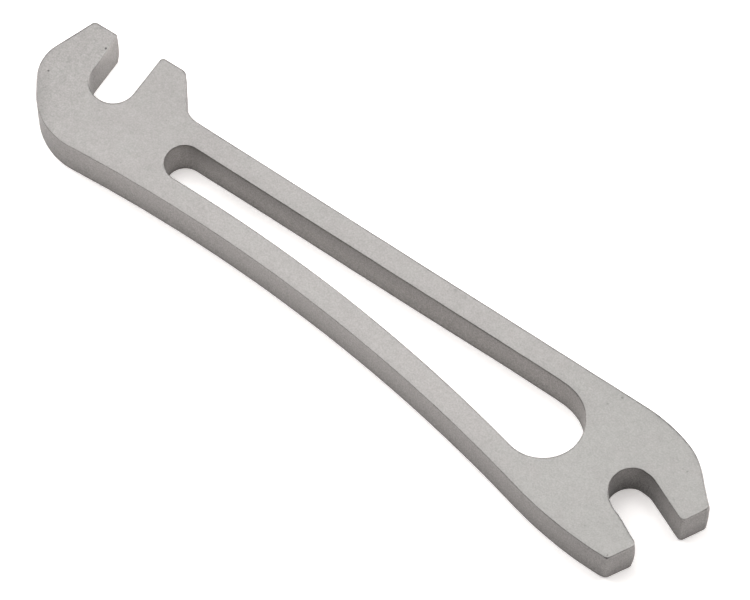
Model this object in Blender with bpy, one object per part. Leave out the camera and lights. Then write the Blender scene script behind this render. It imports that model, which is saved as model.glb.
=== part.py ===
"""Turnbuckle wrench: one flat plate with two open jaws and a tapered slot.

Metres, +Z up.  The plate lies on its broad face at z = 0, X runs along the
straight back edge and the outline is centred on the origin.

The plan is drawn in millimetres from the back edge (y = 0, the part below it)
as oriented lines and arcs.  Every line is travelled with the part on its left.
"""
import cmath
import math

import bmesh
import bpy

# ---------------------------------------------------------------- dimensions
MM = 0.001

PLATE_T = 6.5             # plate thickness
EDGE_BREAK = 0.12         # rounded break along both broad faces
CORNER_MID = 0.30         # jaw-tip corners are sharper at mid thickness

# square jaw (left end): bottom circle, opening direction, slight lead-in
A_CENTRE = complex(-37.48, -1.23)
A_RADIUS = 2.79           # half the gap, for a 5.5 mm hexagon
A_AXIS = 90.5
A_LEAD_L, A_LEAD_R = 0.5, 0.7
A_REACH_L, A_REACH_R = 5.03, 5.47     # tip distance along the axis
A_TIP_SKEW = 1.0
A_HEEL_X, A_HEEL_ANGLE = -27.94, 128.0    # slope from the back edge to the tip
A_CHEEK_AT, A_CHEEK_ANGLE = complex(-44.68, 0.48), 249.6
A_CHIN_AT, A_CHIN_ANGLE = complex(-43.50, -7.79), 303.9
A_HEEL_R = 2.32           # concave fillet at the foot of the slope
A_CHEEK_R, A_CHIN_R = 4.99, 7.66
A_TIP_R = dict(heel=1.16, in_r=0.69, in_l=0.67, cheek=0.64)

# front edge: one long hollow arc, then a full belly under the slanted jaw
FRONT_APEX = complex(-20.99, -9.98)
FRONT_R = 193.8
BELLY_R = 47.8
BELLY_AT, BELLY_ANGLE = complex(41.04, -17.35), 0.75

# slanted jaw (right end)
B_CENTRE = complex(37.83, -9.18)
B_RADIUS = 2.76
B_AXIS = -25.75
B_LEAD_L, B_LEAD_R = 0.5, 1.8
B_REACH_L, B_REACH_R = 5.72, 5.52
B_TIP_SKEW = -2.8
B_BROW_AT, B_BROW_ANGLE = complex(44.46, -4.64), 133.6
B_CROWN_AT, B_CROWN_ANGLE = complex(40.04, -1.12), 161.2
B_BROW_R, B_CROWN_R = 8.30, 18.8
B_TIP_R = dict(belly=0.79, in_l=0.59, in_r=0.62, brow=0.62)

# tapered slot
SLOT_BAR = 2.71           # bar left between the slot and the back edge
SLOT_XL, SLOT_RL = -25.07, 2.28
SLOT_XR, SLOT_RR = 24.76, 4.88
SLOT_FLOOR_R = 190.8      # lower edge, one arc tangent to both ends

# segments per arc
SEG_TIP, SEG_U, SEG_BEND, SEG_LONG = 4, 14, 8, 22


# ------------------------------------------------------------- plan geometry
def ray(point, degrees):
    return point, cmath.rect(1.0, math.radians(degrees))


def cross(a, b):
    return (a.conjugate() * b).imag


def shift(line, distance):
    """Parallel line, moved to its left."""
    return line[0] + 1j * line[1] * distance, line[1]


def meet(a, b):
    return a[0] + a[1] * (cross(b[1], b[0] - a[0]) / cross(b[1], a[1]))


def sweep(centre, start, angle, steps):
    return [centre + (start - centre) * cmath.exp(1j * angle * i / steps)
            for i in range(steps + 1)]


def fillet(a, b, radius, steps):
    """Arc that leads from line a into line b."""
    side = 1.0 if cross(a[1], b[1]) > 0 else -1.0
    centre = meet(shift(a, side * radius), shift(b, side * radius))
    return sweep(centre, centre - 1j * a[1] * side * radius,
                 cmath.phase(b[1] / a[1]), steps)


def blend_centre(line, radius, big_centre, big_radius, near):
    """Centre of an arc on the line's left that also touches a big circle."""
    base = shift(line, radius)
    w = big_centre - base[0]
    along = (base[1].conjugate() * w).real
    away = cross(base[1], w)
    reach = math.sqrt((big_radius + radius) ** 2 - away * away)
    return min((base[0] + base[1] * (along - reach),
                base[0] + base[1] * (along + reach)),
               key=lambda c: abs(c - near))


def turn_between(centre, start, end, sense):
    angle = cmath.phase((end - centre) / (start - centre))
    if sense > 0 and angle < 0:
        angle += 2 * math.pi
    if sense < 0 and angle > 0:
        angle -= 2 * math.pi
    return angle


def jaw(centre, radius, axis, lead_in, lead_out):
    """Flat going in, bottom arc, flat coming out."""
    inward = cmath.rect(1.0, math.radians(axis + 180.0 - lead_in))
    outward = cmath.rect(1.0, math.radians(axis + lead_out))
    start = centre + 1j * inward * radius
    end = centre + 1j * outward * radius
    arc = sweep(centre, start, turn_between(centre, start, end, -1), SEG_U)
    return (start, inward), arc, (end, outward)


def outer_loop(inset, tip_scale):
    """Outline points, counter-clockwise, moved `inset` mm into the part."""
    def inside(line):
        return shift(line, inset)

    def tip(radius):
        return max(radius * tip_scale - inset, 0.05)

    back = inside(ray(0j, 180.0))
    heel = inside(ray(complex(A_HEEL_X, 0.0), A_HEEL_ANGLE))
    a_dir = cmath.rect(1.0, math.radians(A_AXIS))
    a_tip_r = inside(ray(A_CENTRE + a_dir * A_REACH_R, A_AXIS + 90 + A_TIP_SKEW))
    a_tip_l = inside(ray(A_CENTRE + a_dir * A_REACH_L, A_AXIS + 90 + A_TIP_SKEW))
    a_in, a_arc, a_out = jaw(A_CENTRE, A_RADIUS + inset, A_AXIS, A_LEAD_R, A_LEAD_L)
    cheek = inside(ray(A_CHEEK_AT, A_CHEEK_ANGLE))
    chin = inside(ray(A_CHIN_AT, A_CHIN_ANGLE))

    front_c = FRONT_APEX - 1j * FRONT_R
    front_r = FRONT_R + inset
    belly = inside(ray(BELLY_AT, BELLY_ANGLE))

    b_dir = cmath.rect(1.0, math.radians(B_AXIS))
    b_tip_l = inside(ray(B_CENTRE + b_dir * B_REACH_L, B_AXIS + 90 + B_TIP_SKEW))
    b_tip_r = inside(ray(B_CENTRE + b_dir * B_REACH_R, B_AXIS + 90 + B_TIP_SKEW))
    b_in, b_arc, b_out = jaw(B_CENTRE, B_RADIUS + inset, B_AXIS, B_LEAD_L, B_LEAD_R)
    brow = inside(ray(B_BROW_AT, B_BROW_ANGLE))
    crown = inside(ray(B_CROWN_AT, B_CROWN_ANGLE))

    chin_c = blend_centre(chin, A_CHIN_R - inset, front_c, front_r, complex(-38, -4))
    chin_0 = chin_c - 1j * chin[1] * (A_CHIN_R - inset)
    chin_1 = front_c + (chin_c - front_c) / abs(chin_c - front_c) * front_r
    belly_c = blend_centre(belly, BELLY_R - inset, front_c, front_r, complex(38, 30))
    belly_1 = belly_c - 1j * belly[1] * (BELLY_R - inset)
    belly_0 = front_c + (belly_c - front_c) / abs(belly_c - front_c) * front_r

    points = []
    points += fillet(back, heel, A_HEEL_R + inset, SEG_BEND)
    points += fillet(heel, a_tip_r, tip(A_TIP_R["heel"]), SEG_TIP)
    points += fillet(a_tip_r, a_in, tip(A_TIP_R["in_r"]), SEG_TIP)
    points += a_arc
    points += fillet(a_out, a_tip_l, tip(A_TIP_R["in_l"]), SEG_TIP)
    points += fillet(a_tip_l, cheek, tip(A_TIP_R["cheek"]), SEG_TIP)
    points += fillet(cheek, chin, A_CHEEK_R - inset, SEG_BEND)
    points += sweep(chin_c, chin_0, turn_between(chin_c, chin_0, chin_1, 1), SEG_BEND)
    points += sweep(front_c, chin_1, turn_between(front_c, chin_1, belly_0, -1), SEG_LONG)[1:-1]
    points += sweep(belly_c, belly_0, turn_between(belly_c, belly_0, belly_1, 1), SEG_BEND)
    points += fillet(belly, b_tip_l, tip(B_TIP_R["belly"]), SEG_TIP)
    points += fillet(b_tip_l, b_in, tip(B_TIP_R["in_l"]), SEG_TIP)
    points += b_arc
    points += fillet(b_out, b_tip_r, tip(B_TIP_R["in_r"]), SEG_TIP)
    points += fillet(b_tip_r, brow, tip(B_TIP_R["brow"]), SEG_TIP)
    points += fillet(brow, crown, B_BROW_R - inset, SEG_BEND)
    points += fillet(crown, back, B_CROWN_R - inset, SEG_BEND)
    return points


def slot_loop(inset):
    """Slot outline, clockwise, so the part is on the left here too."""
    rl, rr, rf = SLOT_RL + inset, SLOT_RR + inset, SLOT_FLOOR_R - inset
    cl = complex(SLOT_XL, -SLOT_BAR - SLOT_RL)
    cr = complex(SLOT_XR, -SLOT_BAR - SLOT_RR)
    span = cr - cl
    along = ((rf + rl) ** 2 - (rf + rr) ** 2 + abs(span) ** 2) / (2 * abs(span))
    depth = math.sqrt((rf + rl) ** 2 - along ** 2)
    unit = span / abs(span)
    cf = cl + unit * along - 1j * unit * depth
    floor_r = cr + (cf - cr) / abs(cf - cr) * rr
    floor_l = cl + (cf - cl) / abs(cf - cl) * rl
    points = sweep(cr, cr + 1j * rr, turn_between(cr, cr + 1j * rr, floor_r, -1), SEG_U)
    points += sweep(cf, floor_r, turn_between(cf, floor_r, floor_l, 1), SEG_LONG)[1:-1]
    points += sweep(cl, floor_l, turn_between(cl, floor_l, cl + 1j * rl, -1), SEG_U)
    return points


def levels():
    """(height, inset, corner scale) from the lower face to the upper one."""
    low = []
    for step in range(3):                       # rounded edge break
        a = math.radians(45.0 * step)
        low.append((EDGE_BREAK * (1 - math.sin(a)), EDGE_BREAK * (1 - math.cos(a))))
    low = [(z, d) for z, d in reversed(low)]    # face first, wall last
    rows = [(z, d, 1.0) for z, d in low]
    for part in (0.16, 0.34):                   # tip corners sharpen towards the middle
        ease = math.sin(math.pi * part)
        rows.append((PLATE_T * part, 0.0, 1.0 + (CORNER_MID - 1.0) * ease))
    return rows + [(PLATE_T - z, d, k) for z, d, k in reversed(rows)]


# ------------------------------------------------------------------ the body
def build_plate():
    rows = levels()
    widest = [p for _, d, k in rows for p in outer_loop(d, k)]
    middle = complex((min(p.real for p in widest) + max(p.real for p in widest)) / 2,
                     (min(p.imag for p in widest) + max(p.imag for p in widest)) / 2)
    bm = bmesh.new()
    faces_of = {}
    for name, maker in (("outer", lambda d, k: outer_loop(d, k)),
                        ("slot", lambda d, k: slot_loop(d))):
        rings = []
        for z, d, k in rows:
            rings.append([bm.verts.new(((p - middle).real * MM, (p - middle).imag * MM, z * MM))
                          for p in maker(d, k)])
        count = len(rings[0])
        for lower, upper in zip(rings, rings[1:]):
            for i in range(count):
                j = (i + 1) % count
                bm.faces.new((lower[i], lower[j], upper[j], upper[i]))
        faces_of[name] = rings
    for ring, up in ((0, -1.0), (-1, 1.0)):     # lower and upper broad face
        edges = []
        for name in ("outer", "slot"):
            loop = faces_of[name][ring]
            for i, v in enumerate(loop):
                edges.append(bm.edges.get((v, loop[(i + 1) % len(loop)])))
        bmesh.ops.triangle_fill(bm, use_beauty=True, use_dissolve=False,
                                edges=edges, normal=(0.0, 0.0, up))
    bmesh.ops.recalc_face_normals(bm, faces=bm.faces[:])
    mesh = bpy.data.meshes.new("wrench_body")
    bm.to_mesh(mesh)
    bm.free()
    return mesh


def blasted_metal():
    material = bpy.data.materials.new("blasted_grey_metal")
    material.use_nodes = True
    shader = material.node_tree.nodes["Principled BSDF"]
    shader.inputs["Base Color"].default_value = (0.50, 0.485, 0.47, 1.0)
    shader.inputs["Metallic"].default_value = 0.9
    shader.inputs["Roughness"].default_value = 0.62
    return material


def main():
    for obj in list(bpy.data.objects):
        bpy.data.objects.remove(obj, do_unlink=True)
    mesh = build_plate()
    mesh.materials.append(blasted_metal())
    plate = bpy.data.objects.new("wrench_body", mesh)
    bpy.context.scene.collection.objects.link(plate)
    mesh.shade_smooth()
    mesh.set_sharp_from_angle(angle=math.radians(32.0))


main()
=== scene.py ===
"""Looks for the turnbuckle wrench: a finely rounded plate in blasted bare metal.

The plan is the CAD plan, in millimetres from the back edge (y = 0), drawn with
finer arcs.  The walls are lofted between the two broad faces with a soft edge
break, so every silhouette comes from geometry; edge highlights come from the
geometry and from painted light on rounded tips, with painted shade on broken edges.
"""

import cmath
import math

import bmesh
import bpy
from mathutils import Matrix, Vector, noise


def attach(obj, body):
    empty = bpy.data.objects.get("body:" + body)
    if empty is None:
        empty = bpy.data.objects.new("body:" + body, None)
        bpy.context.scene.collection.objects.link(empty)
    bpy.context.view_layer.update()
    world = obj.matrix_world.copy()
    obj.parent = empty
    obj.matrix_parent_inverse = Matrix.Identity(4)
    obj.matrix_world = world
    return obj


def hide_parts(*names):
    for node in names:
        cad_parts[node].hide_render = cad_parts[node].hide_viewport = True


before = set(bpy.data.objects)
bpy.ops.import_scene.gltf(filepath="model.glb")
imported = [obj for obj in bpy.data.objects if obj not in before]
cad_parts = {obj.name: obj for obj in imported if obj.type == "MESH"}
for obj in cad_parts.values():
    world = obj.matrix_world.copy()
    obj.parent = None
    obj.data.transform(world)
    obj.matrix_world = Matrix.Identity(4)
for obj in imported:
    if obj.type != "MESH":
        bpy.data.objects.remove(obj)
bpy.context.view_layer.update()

MM = 0.001

# ------------------------------------------------------------------ CAD plan
PLATE_T = 6.5
A_CENTRE, A_RADIUS, A_AXIS = complex(-37.48, -1.23), 2.79, 90.5
A_LEAD_L, A_LEAD_R = 0.5, 0.7
A_REACH_L, A_REACH_R, A_TIP_SKEW = 5.03, 5.47, 1.0
A_HEEL_X, A_HEEL_ANGLE = -27.94, 128.0
A_CHEEK_AT, A_CHEEK_ANGLE = complex(-44.68, 0.48), 249.6
A_CHIN_AT, A_CHIN_ANGLE = complex(-43.50, -7.79), 303.9
A_HEEL_R, A_CHEEK_R, A_CHIN_R = 2.32, 4.99, 7.66
A_TIP_R = dict(heel=1.02, in_r=0.50, in_l=0.67, cheek=0.64)

FRONT_APEX, FRONT_R = complex(-20.99, -9.98), 193.8
BELLY_R, BELLY_AT, BELLY_ANGLE = 47.8, complex(41.04, -17.35), 0.75

B_CENTRE, B_RADIUS, B_AXIS = complex(37.83, -9.18), 2.76, -25.75
B_LEAD_L, B_LEAD_R = 0.5, 1.8
B_REACH_L, B_REACH_R, B_TIP_SKEW = 5.72, 5.52, -2.8
B_BROW_AT, B_BROW_ANGLE = complex(44.46, -4.64), 133.6
B_CROWN_AT, B_CROWN_ANGLE = complex(40.04, -1.12), 161.2
B_BROW_R, B_CROWN_R = 8.30, 18.8
B_TIP_R = dict(belly=0.79, in_l=0.59, in_r=0.62, brow=0.62)

SLOT_BAR = 2.71
SLOT_XL, SLOT_RL, SLOT_XR, SLOT_RR = -25.07, 2.28, 24.76, 4.88
SLOT_FLOOR_R = 190.8
CORNER_MID = 0.30
PLAN_MIDDLE = complex(0.0463, -6.4930)   # the CAD centres the plan on its own box

# corners that differ from face to face: radius low down, at mid height, on the upper face
BELLY_CORNER = (1.15, 0.36, 0.30)
LIP_CORNER = (0.52, 0.03, 0.22)
BROW_CORNER = (0.72, 0.47, 0.66)
HEEL_IN, HEEL_SWING, HEEL_R = 0.088, 1.2, 2.7  # heel slope: set in, and its tip swings out lower down
HEEL_WORN = 2.4                     # its upper edge is worn back towards the bend
DRAFT, DRAFT_SLOT, LEAN_A = 0.05, 0.062, 0.08   # walls run in towards the lower face, the square jaw's out
BROW_SWING, BROW_WORN, BROW_ARM = 3.4, 0.7, 1.5   # below its worn upper edge the brow stands out at the tip

# ---------------------------------------------------------------- edge shape
SKIN = 0.010                        # keeps the finer arcs inside the CAD box
CLOSE, CLOSE_A, CLOSE_B = 0.08, 0.025, 0.07   # slot and jaw walls stand this far into the clearance
SET_BACK = 0.033                    # the outline's back edges are worn in
EDGE_IN, EDGE_DOWN = 0.10, 0.09     # soft break: run on the face, drop on the wall
EDGE_STEPS = 6
LOWER_BREAK = 1.6                   # lower edges are broken more
EDGE_VARY = 0.40                    # how unevenly the tumbling broke the edges
SOFT_OUTER, SOFT_INNER = 1.45, 1.0  # outer edges are rounded more than jaws and slot
SOFT_FRONT = 1.05
BACK_SIDE = cmath.rect(1.0, math.radians(123.4))    # painted shade: edges turned this way are painted darker
SOFT_TIP, SOFT_THROAT = 1.0, 1.25   # the slanted jaw is worn more
SOFT_LIP = 1.4                      # and so is the square jaw's outer tip
# places where the cut strays from the plan: (where, reach, shift low down, shift on the upper face)
STRAYS = [
    (complex(26.05, -2.91), 1.75, complex(-0.027, -0.100), complex(-0.027, -0.100)),
    (complex(29.56, -8.26), 2.60, complex(0.100, -0.015), complex(0.100, -0.015)),
    (complex(-27.00, -6.05), 0.85, complex(-0.080, -0.045), complex(-0.080, -0.045)),
    (complex(38.02, -6.49), 0.65, complex(-0.007, -0.098), complex(-0.007, -0.098)),
    (complex(37.17, -11.93), 1.00, complex(-0.062, -0.128), complex(-0.062, -0.128)),
    (complex(40.64, -13.65), 2.00, complex(-0.042, -0.087), complex(-0.042, -0.087)),
    (complex(-40.28, -0.75), 1.50, complex(-0.030, 0.000), complex(0.125, 0.000)),
    (complex(-40.60, -11.10), 2.80, complex(0.020, 0.055), 0j),
    (complex(16.20, -2.70), 4.80, complex(0.000, 0.062), 0j),
    (complex(-1.50, -2.70), 7.00, complex(0.000, -0.032), 0j),
    (complex(-24.50, -2.90), 2.80, complex(0.000, -0.055), 0j),
]
NICKS = [(complex(39.70, -10.68), 0.22, 0.7), (complex(45.46, 0.06), 0.34, 0.7)]
WALL_ROWS = 14
SEG_TIP, SEG_U, SEG_BEND, SEG_LONG, SEG_LINE = 10, 44, 26, 150, 40


def ray(point, degrees):
    return point, cmath.rect(1.0, math.radians(degrees))


def cross(a, b):
    return (a.conjugate() * b).imag


def shift(line, distance):
    return line[0] + 1j * line[1] * distance, line[1]


def meet(a, b):
    return a[0] + a[1] * (cross(b[1], b[0] - a[0]) / cross(b[1], a[1]))


def sweep(centre, start, angle, steps):
    return [centre + (start - centre) * cmath.exp(1j * angle * i / steps)
            for i in range(steps + 1)]


def fillet(a, b, radius, steps):
    side = 1.0 if cross(a[1], b[1]) > 0 else -1.0
    centre = meet(shift(a, side * radius), shift(b, side * radius))
    return sweep(centre, centre - 1j * a[1] * side * radius,
                 cmath.phase(b[1] / a[1]), steps)


def blend_centre(line, radius, big_centre, big_radius, near):
    base = shift(line, radius)
    w = big_centre - base[0]
    along = (base[1].conjugate() * w).real
    away = cross(base[1], w)
    reach = math.sqrt((big_radius + radius) ** 2 - away * away)
    return min((base[0] + base[1] * (along - reach),
                base[0] + base[1] * (along + reach)),
               key=lambda c: abs(c - near))


def turn_between(centre, start, end, sense):
    angle = cmath.phase((end - centre) / (start - centre))
    if sense > 0 and angle < 0:
        angle += 2 * math.pi
    if sense < 0 and angle > 0:
        angle -= 2 * math.pi
    return angle


def jaw(centre, radius, axis, lead_in, lead_out):
    inward = cmath.rect(1.0, math.radians(axis + 180.0 - lead_in))
    outward = cmath.rect(1.0, math.radians(axis + lead_out))
    start = centre + 1j * inward * radius
    end = centre + 1j * outward * radius
    arc = sweep(centre, start, turn_between(centre, start, end, -1), SEG_U)
    return (start, inward), arc, (end, outward)


def outer_loop(inset, level):
    """Outline at a level from 0, the lower face, to 1, the upper one."""
    mid = math.sin(math.pi * level)

    def inside(line, extra=0.0):
        return shift(line, inset + extra)

    def tip(radius):
        return max(radius * (1.0 + (CORNER_MID - 1.0) * mid) - inset, 0.03)

    def by_level(corner):
        low, middle, high = corner
        return max((low + (high - low) * level) * (1.0 - mid) + middle * mid - inset, 0.03)

    swing = HEEL_SWING * (1.0 - max(0.0, 2.0 * level - 1.0) ** 2)

    back = inside(ray(0j, 180.0), SET_BACK)
    heel = ray(complex(A_HEEL_X, 0.0), A_HEEL_ANGLE)
    heel = ray(shift(heel, HEEL_IN)[0] + 1.5 * heel[1], A_HEEL_ANGLE - swing)
    worn = max(0.0, (level - 0.86) / 0.14)
    heel = inside(ray(heel[0] + 2.8 * heel[1], A_HEEL_ANGLE - swing - HEEL_WORN * worn))
    a_dir = cmath.rect(1.0, math.radians(A_AXIS))
    a_tip_r = inside(ray(A_CENTRE + a_dir * A_REACH_R, A_AXIS + 90 + A_TIP_SKEW), SET_BACK)
    a_tip_l = inside(ray(A_CENTRE + a_dir * A_REACH_L, A_AXIS + 90 + A_TIP_SKEW), SET_BACK)
    a_in, a_arc, a_out = jaw(A_CENTRE, A_RADIUS + inset - CLOSE_A - LEAN_A * (1.0 - level), A_AXIS, A_LEAD_R, A_LEAD_L)
    cheek = inside(ray(A_CHEEK_AT, A_CHEEK_ANGLE), 0.4 * SET_BACK)
    chin = inside(ray(A_CHIN_AT, A_CHIN_ANGLE))
    front_c = FRONT_APEX - 1j * FRONT_R
    front_r = FRONT_R + inset
    belly = inside(ray(BELLY_AT, BELLY_ANGLE))
    b_dir = cmath.rect(1.0, math.radians(B_AXIS))
    b_tip_l = inside(ray(B_CENTRE + b_dir * B_REACH_L, B_AXIS + 90 + B_TIP_SKEW))
    b_tip_r = inside(ray(B_CENTRE + b_dir * B_REACH_R, B_AXIS + 90 + B_TIP_SKEW))
    b_in, b_arc, b_out = jaw(B_CENTRE, B_RADIUS + inset - CLOSE_B, B_AXIS, B_LEAD_L, B_LEAD_R)
    below = 1.0 - max(0.0, 2.0 * level - 1.0) ** 8
    brow = ray(B_BROW_AT, B_BROW_ANGLE)
    brow = inside(ray(brow[0] + brow[1] * BROW_ARM, B_BROW_ANGLE + BROW_SWING * below - BROW_WORN * (1.0 - below)), SET_BACK)
    crown = inside(ray(B_CROWN_AT, B_CROWN_ANGLE), SET_BACK)

    chin_r, belly_r = A_CHIN_R - inset, BELLY_R - inset
    chin_c = blend_centre(chin, chin_r, front_c, front_r, complex(-38, -4))
    chin_0 = chin_c - 1j * chin[1] * chin_r
    chin_1 = front_c + (chin_c - front_c) / abs(chin_c - front_c) * front_r
    belly_c = blend_centre(belly, belly_r, front_c, front_r, complex(38, 30))
    belly_1 = belly_c - 1j * belly[1] * belly_r
    belly_0 = front_c + (belly_c - front_c) / abs(belly_c - front_c) * front_r

    o, i, f = SOFT_OUTER, SOFT_INNER, SOFT_FRONT
    runs = [
        (o, fillet(back, heel, HEEL_R + inset, SEG_BEND)),
        (o, fillet(heel, a_tip_r, tip(A_TIP_R["heel"]), SEG_TIP)),
        (i, fillet(a_tip_r, a_in, tip(A_TIP_R["in_r"]), SEG_TIP)),
        (i, a_arc),
        (SOFT_LIP, fillet(a_out, a_tip_l, by_level(LIP_CORNER), SEG_TIP)),
        (o, fillet(a_tip_l, cheek, tip(A_TIP_R["cheek"]), SEG_TIP)),
        (o, fillet(cheek, chin, A_CHEEK_R - inset, SEG_BEND)),
        (f, sweep(chin_c, chin_0, turn_between(chin_c, chin_0, chin_1, 1), SEG_BEND)),
        (f, sweep(front_c, chin_1, turn_between(front_c, chin_1, belly_0, -1), SEG_LONG)),
        (f, sweep(belly_c, belly_0, turn_between(belly_c, belly_0, belly_1, 1), SEG_BEND)),
        (o, fillet(belly, b_tip_l, by_level(BELLY_CORNER), SEG_TIP)),
        (SOFT_TIP, fillet(b_tip_l, b_in, tip(B_TIP_R["in_l"]), SEG_TIP)),
        (SOFT_THROAT, b_arc),
        (SOFT_TIP, fillet(b_out, b_tip_r, tip(B_TIP_R["in_r"]), SEG_TIP)),
        (SOFT_TIP, fillet(b_tip_r, brow, by_level(BROW_CORNER), SEG_TIP)),
        (o, fillet(brow, crown, B_BROW_R - inset - SET_BACK, SEG_BEND)),
        (o, fillet(crown, back, B_CROWN_R - inset - SET_BACK, SEG_BEND)),
    ]
    return chained(runs, tangent=(7, 8, 15))


def slot_loop(inset):
    inset -= CLOSE
    rl, rr, rf = SLOT_RL + inset, SLOT_RR + inset, SLOT_FLOOR_R - inset
    cl = complex(SLOT_XL, -SLOT_BAR - SLOT_RL)
    cr = complex(SLOT_XR, -SLOT_BAR - SLOT_RR)
    span = cr - cl
    along = ((rf + rl) ** 2 - (rf + rr) ** 2 + abs(span) ** 2) / (2 * abs(span))
    depth = math.sqrt((rf + rl) ** 2 - along ** 2)
    unit = span / abs(span)
    cf = cl + unit * along - 1j * unit * depth
    floor_r = cr + (cf - cr) / abs(cf - cr) * rr
    floor_l = cl + (cf - cl) / abs(cf - cl) * rl
    runs = [
        (SOFT_INNER, sweep(cr, cr + 1j * rr, turn_between(cr, cr + 1j * rr, floor_r, -1), SEG_U)),
        (SOFT_INNER, sweep(cf, floor_r, turn_between(cf, floor_r, floor_l, 1), SEG_LONG)),
        (SOFT_INNER, sweep(cl, floor_l, turn_between(cl, floor_l, cl + 1j * rl, -1), SEG_U)),
    ]
    return chained(runs, tangent=(0, 1))


def chained(runs, tangent):
    """Joins the arcs into (point, softness), with straight runs except where they meet."""
    points = []
    for k, ((soft, run), (soft_next, following)) in enumerate(zip(runs, runs[1:] + runs[:1])):
        points += [(p, soft) for p in run]
        gap = following[0] - run[-1]
        if k in tangent:
            points.pop()
        else:
            for i in range(1, SEG_LINE):
                u = i / SEG_LINE
                points.append((run[-1] + gap * u, soft + (soft_next - soft) * u))
    return points


def profile():
    """Rows from the lower face up to mid height.

    Each row is (depth, shares of the edge break in and down, extra inset, wall
    share, lip share, share of the rounding); depth is measured from the nearest
    broad face.
    """
    rows = [(0.0, 1.0, 0.0, 0.9, 0.0, 0.0, 0.0), (0.0, 1.0, 0.0, 0.25, 0.0, 0.0, 0.0),
            (0.0, 1.0, 0.0, 0.13, 0.0, 0.0, 0.0), (0.0, 1.0, 0.0, 0.02, 0.0, 0.6, 0.0)]
    for i in range(EDGE_STEPS + 1):
        a = 0.5 * math.pi * i / EDGE_STEPS
        rows.append((0.0, 1 - math.sin(a), 1 - math.cos(a), 0.0, math.sin(a), 1.0,
                     math.sin(min(2.0 * a, 0.5 * math.pi)) * (1.0 if 2 * i <= EDGE_STEPS else math.cos(a - 0.25 * math.pi))))
    rows.append((0.03, 0.0, 1.0, 0.0, 1.0, 0.7, 0.75))
    rows.append((0.12, 0.0, 1.0, 0.0, 1.0, 0.0, 0.35))
    for i in range(2, WALL_ROWS // 2 + 1):
        rows.append((0.1 + (PLATE_T - 0.2) * i / WALL_ROWS, 0.0, 0.0, 0.0, 1.0, 0.0, 0.0))
    return rows


def strayed(loop, level):
    """The outline at a level, moved where the cut strays from the plan."""
    moved = []
    for p, soft in loop:
        shift_by = 0j
        for at, reach, low, high in STRAYS:
            away = abs(p - at) / reach
            if away < 3.0:
                shift_by += (low + (high - low) * level) * math.exp(-away * away)
        moved.append((p + shift_by, soft))
    return moved


def unevenness(point, upper):
    """Local size of the edge break, 1 on average, slowly varying along the edge."""
    p = Vector((point.real, point.imag, 20.0 if upper else 0.0))
    slow = noise.noise(p * 0.35)
    quick = noise.noise(p * 1.7 + Vector((7.0, 3.0, 1.0)))
    size = 1.0 + EDGE_VARY * (slow + 0.7 * quick)
    if upper:
        size += sum(deep * math.exp(-(abs(point - at) / reach) ** 2) for at, reach, deep in NICKS)
    return max(size, 0.4)


def build_body():
    half = profile()
    rows = [(row, False) for row in half] + [(row, True) for row in reversed(half[:-1])]
    middle = PLAN_MIDDLE
    bm = bmesh.new()
    rim = bm.verts.layers.float.new("rim")
    near_edge = bm.verts.layers.float.new("near_edge")
    cut = bm.verts.layers.float.new("cut_wall")
    lip = bm.verts.layers.float.new("lip")
    in_slot = bm.verts.layers.float.new("slot_wall")
    turned = bm.verts.layers.float.new("rounding")
    face_x = bm.verts.layers.float.new("facing_x")
    face_y = bm.verts.layers.float.new("facing_y")
    rings = {}
    for name, maker in (("outer", outer_loop), ("slot", lambda d, level: slot_loop(d))):
        loops = []
        for (depth, go_in, go_down, extra, on_wall, on_lip, on_turn), upper in rows:
            level = depth / PLATE_T
            level = 1.0 - level if upper else level
            inset = SKIN + extra + (DRAFT if name == "outer" else DRAFT_SLOT) * (1.0 - level)
            near = strayed(maker(inset, level), level)
            far = strayed(maker(inset + EDGE_IN, level), level)
            loop = []
            for (p, soft), (q, _) in zip(near, far):
                grow = (soft if upper else min(soft, SOFT_OUTER) * LOWER_BREAK) * unevenness(p - middle, upper)
                at = p + (q - p) * go_in * grow - middle
                deep = depth + EDGE_DOWN * go_down * grow
                up = PLATE_T - deep if upper else deep
                v = bm.verts.new((at.real * MM, at.imag * MM, up * MM))
                v[cut], v[turned] = on_wall, on_turn
                outward = (p - q) / abs(p - q)
                v[face_x], v[face_y] = outward.real, outward.imag
                # share of painted shade on the broken edge, strongest where it turns to the back
                back = (outward * BACK_SIDE.conjugate()).real
                v[lip] = on_lip * (0.12 + 0.88 * min(1.0, max(0.0, 2.0 * back + 0.2)))
                v[in_slot] = 1.0 if name == "slot" else 0.0
                v[near_edge] = (1.0 - extra / 0.9) * (1.0 - on_wall)
                v[rim] = max(0.0, 1.0 - max(extra / 0.25, (deep - EDGE_DOWN) / 0.35))
                loop.append(v)
            loops.append(loop)
        for lower, upper in zip(loops, loops[1:]):
            n = len(lower)
            for i in range(n):
                j = (i + 1) % n
                bm.faces.new((lower[i], lower[j], upper[j], upper[i]))
        rings[name] = loops
    for ring, up in ((0, -1.0), (-1, 1.0)):
        edges = []
        for loops in rings.values():
            loop = loops[ring]
            edges += [bm.edges.get((v, loop[(i + 1) % len(loop)])) for i, v in enumerate(loop)]
        bmesh.ops.triangle_fill(bm, use_beauty=True, use_dissolve=False,
                                edges=edges, normal=(0.0, 0.0, up))
    bmesh.ops.recalc_face_normals(bm, faces=bm.faces[:])
    mesh = bpy.data.meshes.new("plate")
    bm.to_mesh(mesh)
    bm.free()
    mesh.shade_smooth()
    obj = bpy.data.objects.new("plate", mesh)
    bpy.context.scene.collection.objects.link(obj)
    return obj, middle


# ------------------------------------------------------------------ material
FACE_TINT = (1.042, 1.0, 0.971)     # warm grey
FACE_TINT_B = (1.024, 1.002, 0.964) # the same, towards the slanted jaw
WALL_TINT = (1.048, 0.998, 0.968)
# warmer colour of painted shade, for the slot walls and the slanted jaw's throat
RECESS_SHADE_TINT = (1.056, 0.997, 0.960)
FACE_TONE = 0.284
WALL_TONE = 0.245


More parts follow.
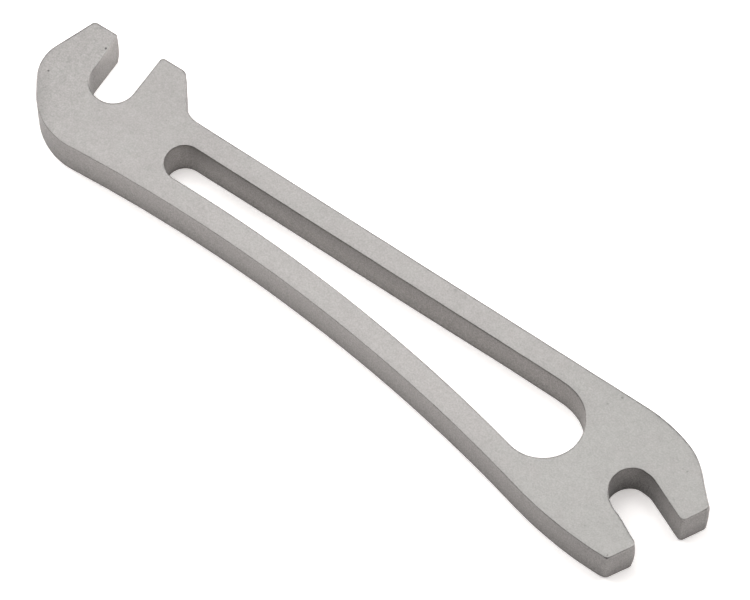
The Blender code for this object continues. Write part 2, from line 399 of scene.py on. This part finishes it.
class Nodes:
    """Short hand for wiring a shader."""

    def __init__(self, tree):
        self.tree = tree

    def feed(self, socket, value):
        if isinstance(value, bpy.types.NodeSocket):
            self.tree.links.new(value, socket)
        else:
            socket.default_value = value

    def math(self, operation, a, b=None, c=None):
        n = self.tree.nodes.new("ShaderNodeMath")
        n.operation = operation
        for i, v in enumerate((a, b, c)):
            if v is not None:
                self.feed(n.inputs[i], v)
        return n.outputs[0]

    def vector(self, operation, a, b=None, scale=None):
        n = self.tree.nodes.new("ShaderNodeVectorMath")
        n.operation = operation
        self.feed(n.inputs[0], a)
        if b is not None:
            self.feed(n.inputs[1], b)
        if scale is not None:
            self.feed(n.inputs["Scale"], scale)
        return n.outputs["Value"] if operation in ("DISTANCE", "LENGTH", "DOT_PRODUCT") else n.outputs["Vector"]

    def noise(self, where, scale, detail=2.0, rough=0.5):
        n = self.tree.nodes.new("ShaderNodeTexNoise")
        self.feed(n.inputs["Vector"], where)
        n.inputs["Scale"].default_value = scale
        n.inputs["Detail"].default_value = detail
        n.inputs["Roughness"].default_value = rough
        return self.math("SUBTRACT", n.outputs[0], 0.5)

    def ramp(self, value, low, high, at_low, at_high):
        n = self.tree.nodes.new("ShaderNodeMapRange")
        n.interpolation_type = "SMOOTHSTEP"
        self.feed(n.inputs["Value"], value)
        for key, v in (("From Min", low), ("From Max", high), ("To Min", at_low), ("To Max", at_high)):
            n.inputs[key].default_value = v
        return n.outputs[0]

    def mix(self, share, a, b):
        n = self.tree.nodes.new("ShaderNodeMix")
        n.data_type = "RGBA"
        self.feed(n.inputs[0], share)
        self.feed(n.inputs[6], a)
        self.feed(n.inputs[7], b)
        return n.outputs[2]

    def attribute(self, name):
        n = self.tree.nodes.new("ShaderNodeAttribute")
        n.attribute_name = name
        return n.outputs["Fac"]


# small marks: (x, y, z) in the part frame in mm, radius, strength
MARKS = [
    (-44.24, 2.14, 6.5, 0.14, 0.62), (-40.55, 8.05, 6.5, 0.16, 0.75), (30.73, 5.84, 6.5, 0.17, 0.32),
    (41.40, 2.62, 6.5, 0.14, 0.24), (40.85, 2.60, 6.5, 0.12, 0.20), (35.75, -8.97, 6.5, 0.22, 0.12),
    (29.77, 4.31, 6.5, 0.17, 0.20), (-42.76, 5.28, 6.5, 0.11, 0.14), (-36.66, 1.38, 6.5, 0.18, 0.10),
    (-10.29, 5.04, 6.5, 0.10, 0.10), (8.45, 5.98, 6.5, 0.26, 0.17), (9.80, 5.95, 6.5, 0.22, 0.14),
    (39.52, -10.85, 6.42, 0.12, 0.30), (39.77, -10.80, 6.39, 0.14, 0.45), (40.02, -10.51, 5.95, 0.16, 0.30),
]


def blasted_metal(middle):
    mat = bpy.data.materials.new("blasted_metal")
    mat.use_nodes = True
    g = Nodes(mat.node_tree)
    shader = mat.node_tree.nodes["Principled BSDF"]
    shader.inputs["Metallic"].default_value = 1.0

    coords = mat.node_tree.nodes.new("ShaderNodeTexCoord")
    mm = g.vector("SCALE", coords.outputs["Object"], scale=1000.0)
    wall = g.attribute("cut_wall")
    rim = g.attribute("rim")
    near_edge = g.attribute("near_edge")
    lip = g.attribute("lip")
    in_slot = g.attribute("slot_wall")
    turned = g.attribute("rounding")
    facing_x = g.attribute("facing_x")
    facing_y = g.attribute("facing_y")
    axes = mat.node_tree.nodes.new("ShaderNodeSeparateXYZ")
    g.feed(axes.inputs[0], mm)
    x, y, z = axes.outputs

    # blasted faces: drifting tone, mottling, and the grain of the shot
    drift = g.noise(mm, 0.10, 1.0, 0.4)
    mottle = g.noise(mm, 0.8, 2.0, 0.5)
    speck = g.noise(mm, 2.4, 2.0, 0.55)
    grain = g.noise(mm, 5.2, 1.0, 0.5)
    rougher = g.math("ADD", g.ramp(x, -43.0, -36.0, 1.38, 1.02), g.ramp(x, -30.0, -24.0, 0.0, 0.02))
    rougher = g.math("ADD", rougher, g.ramp(x, 22.0, 32.0, 0.0, -0.08))
    # the upper face is darker towards both ends, steps in tone along its length and is darker by the belly
    face = g.math("MULTIPLY", g.ramp(x, -44.0, -28.0, 0.955, 1.0), g.ramp(x, 22.0, 34.0, 1.0, 0.972))
    face = g.math("MULTIPLY", face, g.ramp(x, -30.0, 34.0, 0.995, 1.018))
    face = g.math("MULTIPLY_ADD", drift, 0.05, face)
    for low, high, step in ((-33.0, -28.0, -0.024), (-26.0, -16.0, 0.043), (-8.0, -3.0, -0.004),
                            (16.0, 22.0, -0.028), (26.0, 31.0, 0.022), (35.0, 40.0, 0.012),
                            (41.0, 45.0, -0.015)):
        face = g.math("ADD", face, g.ramp(x, low, high, 0.0, step))
    face = g.math("MULTIPLY_ADD", g.noise(mm, 0.33, 1.0, 0.5), 0.04, face)
    face = g.math("MULTIPLY_ADD", g.ramp(x, 30.0, 40.0, -0.008, -0.034), g.math("MULTIPLY", g.ramp(y, -8.5, -5.5, 1.0, 0.0), g.ramp(y, -10.3, -8.5, 0.35, 1.0)), face)
    fine = g.math("MULTIPLY_ADD", speck, 0.28, g.math("MULTIPLY", grain, 0.40))
    fine = g.math("MULTIPLY_ADD", mottle, 0.13, fine)
    face = g.math("MULTIPLY_ADD", fine, rougher, face)

    # cut walls: striations down the thickness and grit; painted light and shade make them lighter towards the upper
    # edge and darker low down, with a painted contact shadow at the foot
    stripes = g.noise(g.vector("MULTIPLY", mm, (2.6, 2.6, 0.10)), 1.0, 2.0, 0.6)
    broad = g.noise(g.vector("MULTIPLY", mm, (0.5, 0.5, 0.12)), 1.0, 2.0, 0.5)
    grit = g.noise(g.vector("MULTIPLY", mm, (6.5, 6.5, 3.2)), 1.0, 1.0, 0.5)
    side = g.math("ADD", g.ramp(z, 2.4, 6.3, 0.978, 1.064), g.ramp(z, 0.2, 3.6, -0.115, 0.0))
    side = g.math("ADD", side, g.ramp(z, 0.1, 0.8, -0.21, 0.0))
    # painted shade: outer walls are painted darker towards both jaws and high up by the slanted jaw; painted light
    # brightens the slanted jaw's tips, with painted shade at their feet
    tips = g.math("MULTIPLY", g.ramp(facing_x, 0.4, 0.75, 0.0, 0.072), g.ramp(x, 36.0, 40.0, 0.0, 1.0))
    outer = g.math("MULTIPLY", g.ramp(x, -42.0, -33.0, 0.765, 0.94), g.ramp(x, -6.0, 44.0, 1.0, 0.84))
    outer = g.math("MULTIPLY_ADD", tips, g.math("MULTIPLY_ADD", g.ramp(z, 3.0, 6.2, 1.0, 0.4), g.ramp(y, -6.0, -3.0, 1.45, 1.0), g.ramp(z, 0.15, 0.75, -2.4, 0.0)), outer)
    outer = g.math("SUBTRACT", outer, g.math("MULTIPLY", g.ramp(x, 30.0, 38.0, 0.0, 0.075), g.ramp(z, 3.4, 6.0, 0.0, 1.0)))
    # slot walls: even, with painted shade as a dark line just under the upper edge and at the feet; painted lighter
    # towards the slot's left end
    slot = g.math("SUBTRACT", g.ramp(x, -26.0, 30.0, 1.06, 0.945), g.ramp(z, 5.8, 6.3, 0.0, 0.26))
    slot = g.math("ADD", slot, g.math("MULTIPLY", g.ramp(x, 22.0, 28.0, 0.0, -0.055), g.ramp(z, 2.0, 5.0, 0.55, 1.3)))
    slot = g.math("ADD", slot, g.math("MULTIPLY", g.ramp(x, -26.0, -23.0, 0.05, 0.0), g.ramp(z, 2.5, 5.0, 0.0, 1.0)))
    slot = g.math("ADD", slot, g.ramp(z, 0.1, 1.0, -0.15, 0.0))
    slot = g.math("ADD", slot, g.ramp(z, 0.3, 3.0, -0.07, 0.0))
    slot = g.math("ADD", slot, g.math("MULTIPLY", g.ramp(z, 0.3, 3.2, -0.15, 0.0), g.ramp(x, -24.0, -10.0, 1.0, 0.0)))
    slot = g.math("MULTIPLY_ADD", g.ramp(z, 0.3, 3.0, -0.06, 0.0), g.math("MULTIPLY", g.ramp(x, -25.0, -21.0, 0.0, 1.0), g.ramp(x, -16.0, -9.0, 1.0, 0.0)), slot)
    place = g.math("MULTIPLY_ADD", g.math("SUBTRACT", slot, outer), in_slot, outer)
    # painted light: the square jaw's outer flat is painted brighter towards its tip and near its upper edge there,
    # with painted shade at its foot
    flat = g.math("MULTIPLY", g.ramp(y, 4.2, 8.6, 0.85, 1.10), g.ramp(y, 8.7, 9.9, 1.0, 0.915))
    flat = g.math("MULTIPLY", flat, g.math("MULTIPLY_ADD", g.ramp(z, 4.0, 5.8, 0.0, 0.17), g.ramp(y, 7.6, 9.0, 1.0, 0.25), 1.0))
    flat = g.math("MULTIPLY", flat, g.ramp(z, 0.05, 0.8, 0.84, 1.0))
    on_flat = g.math("MULTIPLY", g.ramp(x, -36.0, -35.0, 1.0, 0.0), g.ramp(y, 3.0, 4.2, 0.0, 1.0))
    on_flat = g.math("MULTIPLY", on_flat, g.ramp(facing_x, 0.1, 0.4, 0.0, 1.0))
    place = g.math("MULTIPLY_ADD", g.math("SUBTRACT", flat, place), on_flat, place)
    side = g.math("MULTIPLY", side, place)
    # painted shade: the slanted jaw's throat is painted darker, most of all low down, with painted light higher up on
    # the walls near it
    throat = B_CENTRE - middle
    open_to = cmath.rect(1.0, math.radians(B_AXIS))
    reach = g.math("SUBTRACT", g.vector("DOT_PRODUCT", mm, (open_to.real, open_to.imag, 0.0)),
                   (throat.conjugate() * open_to).real)
    from_throat = g.vector("DISTANCE", g.vector("MULTIPLY", mm, (1.0, 1.0, 0.0)),
                           (throat.real, throat.imag, 0.0))
    throat_shade = g.math("MULTIPLY", g.ramp(reach, -1.0, 5.0, 1.0, 0.0), g.ramp(from_throat, 5.5, 7.0, 1.0, 0.0))
    side = g.math("MULTIPLY", side, g.math("MULTIPLY_ADD", throat_shade, g.ramp(z, 0.3, 6.8, -0.46, -0.16), 1.0))
    side = g.math("MULTIPLY", side, g.math("MULTIPLY_ADD", g.ramp(from_throat, 5.5, 7.0, 1.0, 0.0),
                                           g.ramp(z, 0.4, 6.0, -0.12, 0.19), 1.0))
    side = g.math("MULTIPLY_ADD", stripes, g.math("MULTIPLY_ADD", in_slot, 0.03, 0.12), side)
    side = g.math("MULTIPLY_ADD", broad, 0.04, side)
    side = g.math("MULTIPLY_ADD", grit, g.math("MULTIPLY_ADD", in_slot, 0.14, 0.80), side)
    side = g.math("MULTIPLY_ADD", grain, 0.25, side)

    # worn rims and the marks on the upper face
    wear = g.math("MULTIPLY", rim, g.ramp(g.noise(mm, 1.4, 3.0, 0.6), -0.2, 0.25, 0.0, 1.0))
    marks = None
    for px, py, pz, radius, strength in MARKS:
        far = g.vector("DISTANCE", mm, (px, py, pz))
        dent = g.ramp(far, radius * 0.35, radius * 1.25, strength, 0.0)
        marks = dent if marks is None else g.math("MAXIMUM", marks, dent)
    # a scored line down the corner of the slanted jaw's back tip
    score = g.vector("DISTANCE", g.vector("MULTIPLY", mm, (1.0, 1.0, 0.0)), (45.535, 0.07, 0.0))
    marks = g.math("MAXIMUM", marks, g.math("MULTIPLY", g.ramp(score, 0.03, 0.11, 0.17, 0.0), wall))
    pits = mat.node_tree.nodes.new("ShaderNodeTexVoronoi")
    g.feed(pits.inputs["Vector"], mm)
    pits.inputs["Scale"].default_value = 0.55
    chosen = mat.node_tree.nodes.new("ShaderNodeSeparateColor")
    g.feed(chosen.inputs[0], pits.outputs["Color"])
    pit = g.math("MULTIPLY", g.ramp(pits.outputs["Distance"], 0.02, 0.075, 0.13, 0.0),
                 g.ramp(chosen.outputs[0], 0.70, 0.75, 0.0, 1.0))
    marks = g.math("MAXIMUM", marks, pit)
    # finer shot marks, denser at the square jaw
    shot = mat.node_tree.nodes.new("ShaderNodeTexVoronoi")
    g.feed(shot.inputs["Vector"], g.vector("ADD", mm, (3.3, 1.7, 0.4)))
    shot.inputs["Scale"].default_value = 1.25
    picked = mat.node_tree.nodes.new("ShaderNodeSeparateColor")
    g.feed(picked.inputs[0], shot.outputs["Color"])
    share = g.math("ADD", picked.outputs[1], g.ramp(x, -43.0, -30.0, 0.16, 0.0))
    peck = g.math("MULTIPLY", g.ramp(shot.outputs["Distance"], 0.06, 0.18, 0.14, 0.0),
                  g.ramp(share, 0.84, 1.0, 0.0, 1.0))
    marks = g.math("MAXIMUM", marks, peck)

    # and a few painted glints: bright specks
    glints = mat.node_tree.nodes.new("ShaderNodeTexVoronoi")
    g.feed(glints.inputs["Vector"], g.vector("ADD", mm, (1.1, 5.2, 2.6)))
    glints.inputs["Scale"].default_value = 1.7
    lucky = mat.node_tree.nodes.new("ShaderNodeSeparateColor")
    g.feed(lucky.inputs[0], glints.outputs["Color"])
    glint = g.math("MULTIPLY", g.ramp(glints.outputs["Distance"], 0.06, 0.20, 0.11, 0.0),
                   g.ramp(lucky.outputs[2], 0.84, 0.98, 0.0, 1.0))

    # painted shade: the heel slope, seen edge on, has its reflection tinted grey and its tone painted darker
    heel = g.math("MULTIPLY", g.ramp(x, -27.5, -27.0, 1.0, 0.0), g.ramp(x, -33.0, -32.0, 0.0, 1.0))
    heel = g.math("MULTIPLY", heel, g.math("MULTIPLY", g.ramp(facing_x, 0.3, 0.6, 0.0, 1.0), wall))
    heel = g.math("MULTIPLY", heel, g.math("SUBTRACT", 1.0, in_slot))
    g.feed(shader.inputs["Specular Tint"], g.mix(heel, (1.0, 1.0, 1.0, 1.0), (0.50, 0.50, 0.51, 1.0)))
    side = g.math("MULTIPLY", side, g.math("MULTIPLY_ADD", heel, -0.19, 1.0))

    tone = g.math("MULTIPLY_ADD", g.math("SUBTRACT", side, face), wall, face)
    tone = g.math("MULTIPLY_ADD", wear, 0.015, tone)
    # painted glints brighten the broad faces here
    tone = g.math("MULTIPLY_ADD", glint, g.math("SUBTRACT", 1.0, wall), tone)
    # painted highlight: a bright band beside the scored line
    sheen = g.vector("DISTANCE", g.vector("MULTIPLY", mm, (1.0, 1.0, 0.0)), (45.63, 0.28, 0.0))
    tone = g.math("MULTIPLY_ADD", g.ramp(sheen, 0.05, 0.15, 0.09, 0.0), wall, tone)
    # rounded tips catch more light, front rims a little less
    lift = g.math("MULTIPLY", tips, 5.0)
    lift = g.math("MULTIPLY_ADD", on_flat, g.ramp(y, 4.5, 9.0, 0.20, 0.40), lift)
    cheek = g.math("MULTIPLY", g.ramp(x, -44.0, -42.0, 1.0, 0.0), g.ramp(facing_x, -0.9, -0.7, 1.0, 0.0))
    lift = g.math("MULTIPLY_ADD", cheek, g.ramp(y, 0.5, 3.0, 0.50, 0.14), lift)
    tone = g.math("MULTIPLY", tone, g.math("MULTIPLY_ADD", turned, lift, 1.0))
    dim = g.math("MULTIPLY", g.math("MULTIPLY", near_edge, near_edge), g.ramp(facing_y, -0.75, -0.25, 0.075, 0.0))
    dim = g.math("MULTIPLY", dim, g.ramp(x, -42.0, -36.0, 0.6, 1.0))
    # so is a strip along the chin
    chin = A_CHIN_AT - middle
    inward = cmath.rect(1.0, math.radians(A_CHIN_ANGLE + 90.0))
    strip = g.math("SUBTRACT", g.vector("DOT_PRODUCT", mm, (inward.real, inward.imag, 0.0)), (chin.conjugate() * inward).real)
    strip = g.math("MULTIPLY", g.ramp(strip, 0.2, 2.4, 0.078, 0.0), g.math("SUBTRACT", 1.0, wall))
    dim = g.math("ADD", dim, g.math("MULTIPLY", strip, g.math("MULTIPLY", g.ramp(y, -3.8, -3.0, 0.0, 1.0), g.ramp(y, -0.5, 2.5, 1.62, 0.55))))
    # painted shade: edges of the slanted jaw turned to the back are painted darker, unevenly
    back_edge_shade = g.math("MULTIPLY", g.math("MULTIPLY", near_edge, near_edge), g.ramp(facing_y, 0.3, 0.8, 0.0, 0.10))
    back_edge_shade = g.math("MULTIPLY", back_edge_shade, g.math("MULTIPLY", g.ramp(x, 24.0, 32.0, 0.0, 1.0), g.ramp(x, 40.0, 43.5, 1.0, 0.0)))
    dim = g.math("MULTIPLY_ADD", back_edge_shade, g.ramp(g.noise(mm, 0.9, 2.0, 0.6), -0.18, 0.18, 0.1, 1.3), dim)
    tone = g.math("MULTIPLY", tone, g.math("SUBTRACT", 1.0, dim))
    # painted shade: the broken edges are painted darker, unevenly, most of all those turned to the back
    edge_shade = g.math("MULTIPLY", lip, g.ramp(g.noise(mm, 2.2, 2.0, 0.6), -0.2, 0.2, 0.10, 0.22))
    edge_shade = g.math("MULTIPLY", edge_shade, g.math("ADD", g.ramp(x, -36.0, -28.5, 2.3, 0.6), g.math("ADD", g.ramp(x, -2.0, 14.0, 0.0, 0.5), g.ramp(x, 28.0, 36.0, 0.0, 1.5))))
    tone = g.math("MULTIPLY", tone, g.math("SUBTRACT", 1.0, g.math("MAXIMUM", marks, edge_shade)))
    patch = g.math("MULTIPLY_ADD", g.noise(mm, 0.55, 1.0, 0.5), 1.6, g.ramp(x, 14.0, 34.0, 0.1, 0.9))
    face_colour = g.mix(patch, tuple(FACE_TONE * c for c in FACE_TINT) + (1.0,),
                        tuple(FACE_TONE * c for c in FACE_TINT_B) + (1.0,))
    # painted shade: slot and throat walls take the warmer shade colour
    wall_colour = g.mix(g.math("MAXIMUM", in_slot, g.ramp(from_throat, 5.0, 7.0, 1.0, 0.0)), tuple(WALL_TONE * c for c in WALL_TINT) + (1.0,),
                        tuple(WALL_TONE * c for c in RECESS_SHADE_TINT) + (1.0,))
    colour = g.mix(wall, face_colour, wall_colour)
    g.feed(shader.inputs["Base Color"], g.vector("SCALE", colour, scale=tone))

    rough = g.math("MULTIPLY_ADD", speck, 0.12, 0.55)
    rough = g.math("MULTIPLY_ADD", wear, -0.04, rough)
    g.feed(shader.inputs["Roughness"], g.math("MULTIPLY_ADD", stripes, 0.06, rough))

    relief = g.math("MULTIPLY_ADD", grain, 1.0, g.math("MULTIPLY", speck, 0.8))
    relief = g.math("MULTIPLY_ADD", g.math("MULTIPLY", stripes, wall), 2.0, relief)
    relief = g.math("MULTIPLY_ADD", marks, -4.0, relief)
    bump = mat.node_tree.nodes.new("ShaderNodeBump")
    bump.inputs["Strength"].default_value = 1.0
    bump.inputs["Distance"].default_value = 0.000006
    g.feed(bump.inputs["Height"], relief)
    g.feed(shader.inputs["Normal"], bump.outputs[0])
    return mat


def floor_material():
    """A plain white sweep, lit a little from below like a light table."""
    mat = bpy.data.materials.new("pale_floor")
    mat.use_nodes = True
    shader = mat.node_tree.nodes["Principled BSDF"]
    shader.inputs["Base Color"].default_value = (0.930, 0.916, 0.908, 1.0)
    shader.inputs["Roughness"].default_value = 0.9
    shader.inputs["Specular IOR Level"].default_value = 0.2
    shader.inputs["Emission Color"].default_value = (1.0, 0.955, 0.930, 1.0)
    shader.inputs["Emission Strength"].default_value = 0.39
    return mat


# -------------------------------------------------------------------- object
plate, middle = build_body()
plate.data.materials.append(blasted_metal(middle))
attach(plate, "root")
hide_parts("wrench_body")

# --------------------------------------------------------------------- stage
bpy.ops.mesh.primitive_plane_add(size=8.0, location=(0.0, 0.0, -0.00001))
floor = bpy.context.object
floor.name = "floor"
floor.data.materials.append(floor_material())

world = bpy.data.worlds.new("studio")
bpy.context.scene.world = world
world.use_nodes = True
world.node_tree.nodes["Background"].inputs["Color"].default_value = (1.0, 1.0, 1.0, 1.0)
world.node_tree.nodes["Background"].inputs["Strength"].default_value = 0.01


def softbox(name, azimuth, height, reach, size, watts, aim=(0.0, 0.0, 0.0)):
    """A rectangular soft light seen from the part at this azimuth and height, in degrees."""
    data = bpy.data.lights.new(name, "AREA")
    data.shape = "RECTANGLE"
    data.size, data.size_y = size
    data.energy = watts
    obj = bpy.data.objects.new(name, data)
    bpy.context.scene.collection.objects.link(obj)
    az, el = math.radians(azimuth), math.radians(height)
    aim = Vector(aim)
    out = Vector((math.cos(az) * math.cos(el), math.sin(az) * math.cos(el), math.sin(el)))
    obj.location = aim + out * reach
    obj.rotation_euler = (-out).to_track_quat("-Z", "Y").to_euler()
    obj.visible_camera = False
    return obj


softbox("overhead", 0.0, 90.0, 0.90, (0.50, 0.50), 3.27)
softbox("overhead_near", 0.0, 90.0, 0.40, (0.25, 0.25), 0.895, (-0.15, 0.0, 0.0))
softbox("high_back", 60.0, 65.0, 0.90, (0.50, 0.50), 1.42)
softbox("right_back", 60.0, 14.0, 0.90, (0.50, 0.50), 8.2)
softbox("left", 180.0, 16.0, 0.40, (0.25, 0.25), 1.415)

# -------------------------------------------------------------------- camera
# Solved from the photograph's edges: long lens, looking down at 67 degrees.
VIEW_DOWN = math.radians(66.98171)
VIEW_ROLL = math.radians(0.86000)
VIEW_TURN = math.radians(33.76100)         # camera heading, from +Y towards -X
CAM_PLAN = complex(146.715, -223.287)      # mm, plan coordinates
CAM_ABOVE = 613.65                         # mm above the upper face
LENS = 289.545

turn = cmath.exp(1j * VIEW_TURN)
heading = 1j * turn
right0 = Vector((turn.real, turn.imag, 0.0))
forward = Vector((heading.real * math.cos(VIEW_DOWN), heading.imag * math.cos(VIEW_DOWN),
                  -math.sin(VIEW_DOWN)))
down0 = forward.cross(right0)
right = right0 * math.cos(VIEW_ROLL) - down0 * math.sin(VIEW_ROLL)
down = right0 * math.sin(VIEW_ROLL) + down0 * math.cos(VIEW_ROLL)
spot = CAM_PLAN - middle
cam_data = bpy.data.cameras.new("camera")
cam_data.sensor_fit = "HORIZONTAL"
cam_data.sensor_width = 36.0
cam_data.lens = LENS
cam_data.clip_start = 0.01
cam_data.clip_end = 20.0
camera = bpy.data.objects.new("camera", cam_data)
bpy.context.scene.collection.objects.link(camera)
pose = Matrix.Identity(4)
for row in range(3):
    pose[row][0] = right[row]
    pose[row][1] = -down[row]
    pose[row][2] = -forward[row]
pose[0][3] = spot.real * MM
pose[1][3] = spot.imag * MM
pose[2][3] = (PLATE_T + CAM_ABOVE) * MM
camera.matrix_world = pose
bpy.context.scene.camera = camera

bpy.context.scene.view_settings.view_transform = "Standard"
bpy.context.scene.view_settings.look = "None"
